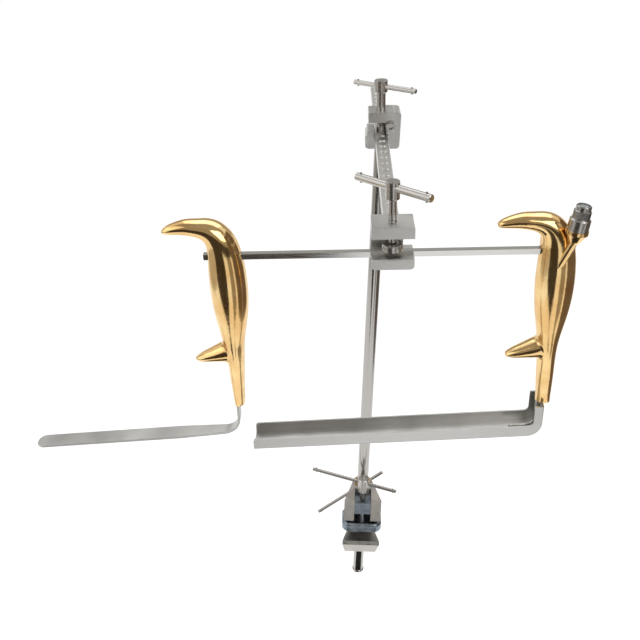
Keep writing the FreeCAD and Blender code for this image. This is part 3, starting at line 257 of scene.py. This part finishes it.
def polished_stainless(colours, sizes, name="polished_stainless", gloss=0.25):
    # Turned and polished stainless: soft gloss, with faint rings left by the lathe.
    material, tree, shader = new_material(name, colours.chrome, 1, gloss)
    rings = noise(tree, place_of(tree, (0.25, 0.25, 1)), sizes.brush_pitch, 3)
    tree.links.new(
        shades(tree, rings, 0.3, 0.7, tint(colours.chrome, 0.9), colours.chrome),
        shader.inputs["Base Color"])
    tree.links.new(spread(tree, rings, gloss - 0.04, gloss + 0.05), shader.inputs["Roughness"])
    bump(tree, shader, rings, 0.000005, 0.3)
    return material


def threaded_stainless(name, colours, sizes, origin, axis, shank, low, high):
    # The same steel with a cut thread on the shank: a helix of crests and roots in relief, with
    # painted shade darkening the roots.
    material = polished_stainless(colours, sizes, name)
    tree = material.node_tree
    shader = tree.nodes["Principled BSDF"]
    angle, height, radius = round_axis(tree, origin, axis)
    turns = math_of(tree, "ADD", angle, math_of(tree, "DIVIDE", height, sizes.thread_pitch))
    cut = math_of(tree, "MULTIPLY", within(tree, height, low, high),
                  math_of(tree, "LESS_THAN", radius, shank + SHANK_SLACK))
    relief_and_painted_shade = only_where(tree, cut, crests(tree, turns))
    # Painted shade: the base colour drops to 30 per cent in the thread's roots.
    tree.links.new(
        shades(tree, relief_and_painted_shade, 0.0, 0.8, tint(colours.chrome, 0.3), colours.chrome),
        shader.inputs["Base Color"])
    bump(tree, shader, relief_and_painted_shade, 0.0006, 0.7)
    return material


def knurled_stainless(colours, sizes, origin, axis, rim, low, high):
    # Diamond knurl rolled into the nipple's grip band, with painted shade darkening it between its
    # points.
    material = polished_stainless(colours, sizes, "knurled_stainless")
    tree = material.node_tree
    shader = tree.nodes["Principled BSDF"]
    angle, height, radius = round_axis(tree, origin, axis)
    starts = round(2 * math.pi * rim / sizes.knurl_pitch)
    round_turns = math_of(tree, "MULTIPLY", angle, starts)
    up_turns = math_of(tree, "DIVIDE", height, sizes.knurl_pitch)
    points = math_of(tree, "MULTIPLY", *(
        crests(tree, math_of(tree, way, round_turns, up_turns)) for way in ("ADD", "SUBTRACT")))
    band = math_of(tree, "MULTIPLY", within(tree, height, low, high),
                   math_of(tree, "GREATER_THAN", radius, rim - RIM_SLACK))
    relief_and_painted_shade = only_where(tree, band, points)
    # Painted shade: in the knurl's grooves the base colour drops to a fifth of the steel's
    # brightness.
    tree.links.new(
        shades(tree, relief_and_painted_shade, 0.05, 0.9, tint(colours.chrome, 0.2), tint(colours.chrome, 0.8)),
        shader.inputs["Base Color"])
    bump(tree, shader, relief_and_painted_shade, 0.0003, 0.4)
    return material


def tumbled_casting(colours, sizes):
    # Investment-cast stainless tumbled in stones: warm grey, soft gloss, faint orange peel.
    material, tree, shader = new_material("tumbled_casting", colours.cast, 1, 0.34)
    cloud = noise(tree, place_of(tree), 0.012, 4)
    tree.links.new(
        shades(tree, cloud, 0.3, 0.7, tint(colours.cast, 0.78), colours.cast),
        shader.inputs["Base Color"])
    tree.links.new(spread(tree, cloud, 0.26, 0.44), shader.inputs["Roughness"])
    bump(tree, shader, noise(tree, place_of(tree), sizes.cast_grain, 3), 0.00012, 0.5)
    return material


def blued_steel(colours, sizes):
    # Oxidised tool steel: dark blue-grey with a satin gloss, paler where it's rubbed.
    material, tree, shader = new_material("blued_steel", colours.blued, 1, 0.3)
    cloud = noise(tree, place_of(tree), 0.008, 5)
    tree.links.new(
        shades(tree, cloud, 0.35, 0.75, tint(colours.blued, 0.7), tint(colours.blued, 1.25)),
        shader.inputs["Base Color"])
    tree.links.new(spread(tree, cloud, 0.24, 0.4), shader.inputs["Roughness"])
    bump(tree, shader, noise(tree, place_of(tree), sizes.blast_grain, 3), 0.00004, 0.4)
    return material


def turned_brass(colours):
    # Plain turned brass, slightly dulled by handling.
    material, tree, shader = new_material("turned_brass", colours.brass, 1, 0.25)
    cloud = noise(tree, place_of(tree), 0.006, 4)
    tree.links.new(
        shades(tree, cloud, 0.3, 0.7, tint(colours.brass, 0.75), colours.brass),
        shader.inputs["Base Color"])
    tree.links.new(spread(tree, cloud, 0.2, 0.38), shader.inputs["Roughness"])
    return material


def optical_glass(colours, sizes):
    # Polished end of a bundle of glass fibres: a pale milky window with a fine cell pattern.
    material, tree, shader = new_material("fibre_glass_end", colours.glass, 0, 0.12)
    shader.inputs["IOR"].default_value = 1.52
    shader.inputs["Transmission Weight"].default_value = 0.35
    cells = add_node(tree, "ShaderNodeTexVoronoi", {
        "Vector": place_of(tree), "Scale": 1 / sizes.fibre_pitch}).outputs["Distance"]
    tree.links.new(
        shades(tree, cells, 0.1, 0.6, colours.glass, tint(colours.glass, 0.55)),
        shader.inputs["Base Color"])
    return material


MATERIALS = {}


def make_materials(scene):
    colours, sizes = scene.retractor_colours, scene.retractor_sizes
    MATERIALS.update({
        "gold": gold_plate(colours, sizes),
        "blasted": blasted_stainless(colours, sizes),
        "along_rail": brushed_stainless(
            "brushed_along_rail", colours, sizes, stretch=(0.02, 1, 1), pale=1.1, gloss=0.16),
        "along_arm": brushed_stainless(
            "brushed_along_arm", colours, sizes, stretch=(1, 0.02, 1), pale=1.25, gloss=0.3),
        "polished": polished_stainless(colours, sizes),
        "post": polished_stainless(colours, sizes, "centreless_ground_post", gloss=0.13),
        "knurl": knurled_stainless(colours, sizes, *KNURL),
        "cast": tumbled_casting(colours, sizes),
        "blued": blued_steel(colours, sizes),
        "brass": turned_brass(colours),
        "glass": optical_glass(colours, sizes),
    })
    for screw, where in THREADS.items():
        MATERIALS[screw + "_thread"] = threaded_stainless(
            "threaded_" + screw + "_screw", colours, sizes, *where)


def dress(material, *nodes, smooth_angle=35):
    """Gives CAD nodes their material and smooth shading up to an angle."""
    for name in nodes:
        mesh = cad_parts[name].data
        mesh.materials.clear()
        mesh.materials.append(MATERIALS[material])
        mesh.polygons.foreach_set("use_smooth", [True] * len(mesh.polygons))
        mesh.set_sharp_from_angle(angle=math.radians(smooth_angle))


class RetractorOperator(bpy.types.Operator):
    bl_options = {"REGISTER", "UNDO"}


class RETRACTOR_OT_handles(RetractorOperator):
    """Dress the two gold hook handles and the gold light post"""
    bl_idname = "retractor.handles"
    bl_label = "Gold handles"

    def execute(self, context):
        dress("gold", "left_handle", "right_handle", "light_post", smooth_angle=50)
        return {"FINISHED"}


class RETRACTOR_OT_blades(RetractorOperator):
    """Dress the flat blade, the channel blade and their pins"""
    bl_idname = "retractor.blades"
    bl_label = "Blades"

    def execute(self, context):
        dress("blasted", "left_blade", "right_blade")
        dress("polished", "left_blade_pins", "right_blade_pins")
        return {"FINISHED"}


class RETRACTOR_OT_rail_and_arm(RetractorOperator):
    """Dress the cross rail, the perforated arm and the post"""
    bl_idname = "retractor.rail_and_arm"
    bl_label = "Rail, arm and post"

    def execute(self, context):
        dress("along_rail", "rail")
        dress("along_arm", "support_arm")
        dress("post", "post", "post_end_cap")
        return {"FINISHED"}


class RETRACTOR_OT_clamps(RetractorOperator):
    """Dress the rail clamp, the arm clamp and the post's head"""
    bl_idname = "retractor.clamps"
    bl_label = "Clamps"

    def execute(self, context):
        dress("blasted", "rail_clamp", "arm_clamp", "post_head")
        dress("polished", "head_pin", "pivot_screw")
        return {"FINISHED"}


class RETRACTOR_OT_screws(RetractorOperator):
    """Dress the clamping screws, their feet and their sliding bars"""
    bl_idname = "retractor.screws"
    bl_label = "Screws and bars"

    def execute(self, context):
        for screw in THREADS:
            dress(screw + "_thread", screw + "_screw")
        for piece in ("rail_screw", "arm_screw"):
            dress("polished", piece + "_foot")
        for piece in ("rail_screw_bar", "arm_screw_bar", "table_bar", "lock_bar"):
            dress("polished", piece, piece + "_stop_pins")
        dress("polished", "table_screw_button")
        return {"FINISHED"}


class RETRACTOR_OT_table_clamp(RetractorOperator):
    """Dress the table clamp, its jaw, nut, sleeve and shoe"""
    bl_idname = "retractor.table_clamp"
    bl_label = "Table clamp"

    def execute(self, context):
        dress("cast", "clamp_frame")
        dress("blued", "table_jaw", "bridge_nut", "bushing_ring")
        dress("polished", "bridge_pins")
        dress("brass", "post_bushing", "lock_shoe")
        return {"FINISHED"}


class RETRACTOR_OT_light_fittings(RetractorOperator):
    """Dress the light connector, its nipple and the light guide"""
    bl_idname = "retractor.light_fittings"
    bl_label = "Light fittings"

    def execute(self, context):
        dress("polished", "light_connector", "light_guide_tube")
        dress("knurl", "connector_nipple")
        dress("glass", "connector_lens", "fibre_bundle", "guide_lens")
        return {"FINISHED"}


# Stage, in metres

# The photograph's view, 30 degrees down, turned and rolled by about a degree.
CAMERA_DOWN = math.radians(30.06)
CAMERA_TURN = math.radians(-1.166)
CAMERA_ROLL = math.radians(1.067)
CAMERA_PLACE = Vector((-42.8, -797.5, 785.2)) * MM
SENSOR_MM, LENS_MM = 36, 46.125

FLOOR_Z, FLOOR_HALF = -0.75, 4
CARD_FOOT = -0.74
ROOM_LEFT, ROOM_RIGHT, ROOM_FRONT, ROOM_TOP = -2.2, 2.2, -1.6, 2.2
WALL_BACK, WALL_TOP = 1.2, 1.6
DARK_TOP = 0.8


def facing(y, left, right, low, high):
    """Corners of an upright card across the view."""
    return (left, y, low), (right, y, low), (right, y, high), (left, y, high)


def beside(x, front, back, low, high):
    """Corners of an upright card along the view."""
    return (x, front, low), (x, back, low), (x, back, high), (x, front, high)


def flat(z, left, right, front, back):
    """Corners of a card that lies level."""
    return (left, front, z), (right, front, z), (right, back, z), (left, back, z)


# Cards that only gloss can see: a dim room round the white sweep gives the mirror surfaces
# their dark stripes, as a studio does. Each has a name, a colour and its corners.
CARDS = (
    ("dark_room", "453F38", (
        (ROOM_LEFT, ROOM_FRONT, CARD_FOOT), (-0.45, ROOM_FRONT, CARD_FOOT),
        (-0.05, ROOM_FRONT, -0.3), (0.02, ROOM_FRONT, 0.3), (ROOM_RIGHT, ROOM_FRONT, 0.3),
        (ROOM_RIGHT, ROOM_FRONT, DARK_TOP), (ROOM_LEFT, ROOM_FRONT, DARK_TOP))),
    ("tan_front", "A19C94", facing(ROOM_FRONT, 0.55, 1.5, CARD_FOOT, 0.3)),
    ("grey_front", "A39F98", facing(ROOM_FRONT, ROOM_LEFT, ROOM_RIGHT, DARK_TOP, ROOM_TOP)),
    ("grey_ceiling", "A7A49F", flat(ROOM_TOP, ROOM_LEFT, ROOM_RIGHT, ROOM_FRONT, 0.2)),
    ("grey_back", "ADABA7", facing(3, -3, 3, 0.9, 3.4)),
    ("warm_right", "73675E", beside(1.5, -WALL_BACK, WALL_BACK, CARD_FOOT, WALL_TOP)),
    ("grey_left", "C3BFB8", beside(ROOM_LEFT, ROOM_FRONT, WALL_BACK, CARD_FOOT, WALL_TOP)),
    ("dark_floor", "2E2C29", flat(CARD_FOOT, -0.6, 0.6, -0.84, -0.2)),
)

# Each lamp has a name, a place, the point that it faces, its width and height, and its watts.
LAMPS = (
    ("key", (0.75, -1.2, 1.5), (0, -0.2, 0.4), (1.3, 1.0), 11),
    ("fill", (-1.3, -0.6, 0.9), (0, -0.15, 0.35), (1.2, 1.4), 5),
    ("top", (0, 0.6, 1.9), (0, -0.1, 0.4), (1.8, 1.2), 7),
)


def card(name, corners, material):
    """Flat four-sided piece of the studio."""
    mesh = bpy.data.meshes.new(name)
    made = bmesh.new()
    made.faces.new([made.verts.new(corner) for corner in corners])
    made.to_mesh(mesh)
    made.free()
    item = bpy.data.objects.new(name, mesh)
    bpy.context.scene.collection.objects.link(item)
    mesh.materials.append(material)
    return item


def lamp(name, place, target, size, power):
    light = bpy.data.lights.new(name, "AREA")
    light.shape = "RECTANGLE"
    light.size, light.size_y = size
    light.energy = power
    item = bpy.data.objects.new(name, light)
    item.location = place
    item.rotation_euler = (Vector(target) - Vector(place)).to_track_quat("-Z", "Y").to_euler()
    bpy.context.scene.collection.objects.link(item)


def white_for_view(tree, seen_strength, other_strength):
    """One strength for the rays of the camera, gloss and glass, and another for the rest."""
    path = add_node(tree, "ShaderNodeLightPath").outputs
    seen = path["Is Camera Ray"]
    for other in ("Is Glossy Ray", "Is Transmission Ray"):
        seen = math_of(tree, "MAXIMUM", seen, path[other])
    return add_node(tree, "ShaderNodeMapRange", {
        "Value": seen, "To Min": other_strength, "To Max": seen_strength}).outputs[0]


def add_camera(scene):
    """The scene's camera, at the photograph's view."""
    camera = bpy.data.objects.new("camera", bpy.data.cameras.new("camera"))
    scene.collection.objects.link(camera)
    scene.camera = camera
    camera.data.sensor_width, camera.data.lens = SENSOR_MM, LENS_MM
    camera.data.clip_start, camera.data.clip_end = 0.05, 20
    level = math.cos(CAMERA_DOWN)
    ahead = Vector((math.sin(CAMERA_TURN) * level, math.cos(CAMERA_TURN) * level,
                    -math.sin(CAMERA_DOWN)))
    across = Vector((math.cos(CAMERA_TURN), -math.sin(CAMERA_TURN), 0))
    above = across.cross(ahead)
    right = across * math.cos(CAMERA_ROLL) + above * math.sin(CAMERA_ROLL)
    view = Matrix((right, right.cross(ahead), -ahead)).transposed().to_4x4()
    view.translation = CAMERA_PLACE
    camera.matrix_world = view


def add_world(scene):
    """A world that is white to look at and lights the object at a plain level."""
    world = bpy.data.worlds.new("studio")
    scene.world = world
    world.use_nodes = True
    back = world.node_tree.nodes["Background"]
    back.inputs["Color"].default_value = (1, 1, 1, 1)
    world.node_tree.links.new(
        white_for_view(world.node_tree, 1.0, 0.55), back.inputs["Strength"])


def add_floor(colours):
    """A floor that keeps its shadow: pale paint, lifted to white for the view alone."""
    material, tree, shader = new_material("pale_floor", colours.floor, 0, 0.8)
    glow = add_node(tree, "ShaderNodeEmission", {"Strength": white_for_view(tree, 0.5, 0.0)})
    both = add_node(tree, "ShaderNodeAddShader", {0: shader.outputs[0], 1: glow.outputs[0]})
    tree.links.new(both.outputs[0], tree.nodes["Material Output"].inputs["Surface"])
    card("floor", flat(FLOOR_Z, -FLOOR_HALF, FLOOR_HALF, -FLOOR_HALF, FLOOR_HALF), material)


def add_cards():
    """The room of plain glowing cards that only glossy rays see."""
    for name, shade, corners in CARDS:
        material, tree, _ = new_material(name, linear(shade), 0, 0.9)
        glow = add_node(tree, "ShaderNodeEmission", {"Color": (*linear(shade), 1)})
        tree.links.new(glow.outputs[0], tree.nodes["Material Output"].inputs["Surface"])
        item = card(name, corners, material)
        for rays in ("camera", "diffuse", "shadow", "transmission"):
            setattr(item, "visible_" + rays, False)


class RETRACTOR_OT_stage(RetractorOperator):
    """Make the pale floor, the studio light and the camera"""
    bl_idname = "retractor.stage"
    bl_label = "Stage"

    def execute(self, context):
        scene = context.scene
        scene.view_settings.view_transform = "Standard"
        add_camera(scene)
        add_world(scene)
        add_floor(scene.retractor_colours)
        add_cards()
        for settings in LAMPS:
            lamp(*settings)
        return {"FINISHED"}


STEPS = (
    RETRACTOR_OT_stage, RETRACTOR_OT_handles, RETRACTOR_OT_blades, RETRACTOR_OT_rail_and_arm,
    RETRACTOR_OT_clamps, RETRACTOR_OT_screws, RETRACTOR_OT_table_clamp,
    RETRACTOR_OT_light_fittings)


class RETRACTOR_PT_panel(bpy.types.Panel):
    """Lists the retractor's sizes, colours and steps"""
    bl_idname = "RETRACTOR_PT_panel"
    bl_label = "Retractor"
    bl_space_type = "VIEW_3D"
    bl_region_type = "UI"
    bl_category = "Retractor"

    def draw(self, context):
        for group in (context.scene.retractor_colours, context.scene.retractor_sizes):
            for key in group.bl_rna.properties.keys():
                if key not in ("rna_type", "name"):
                    self.layout.prop(group, key)
        for step in STEPS:
            self.layout.operator(step.bl_idname)


CLASSES = (RetractorColours, RetractorSizes) + STEPS + (RETRACTOR_PT_panel,)


def register():
    for item in CLASSES:
        bpy.utils.register_class(item)
    bpy.types.Scene.retractor_colours = bpy.props.PointerProperty(type=RetractorColours)
    bpy.types.Scene.retractor_sizes = bpy.props.PointerProperty(type=RetractorSizes)


def unregister():
    del bpy.types.Scene.retractor_sizes
    del bpy.types.Scene.retractor_colours
    for item in reversed(CLASSES):
        bpy.utils.unregister_class(item)


def main():
    register()
    make_materials(bpy.context.scene)
    for step in STEPS:
        group, call = step.bl_idname.split(".")
        getattr(getattr(bpy.ops, group), call)()


if __name__ == "__main__":
    main()
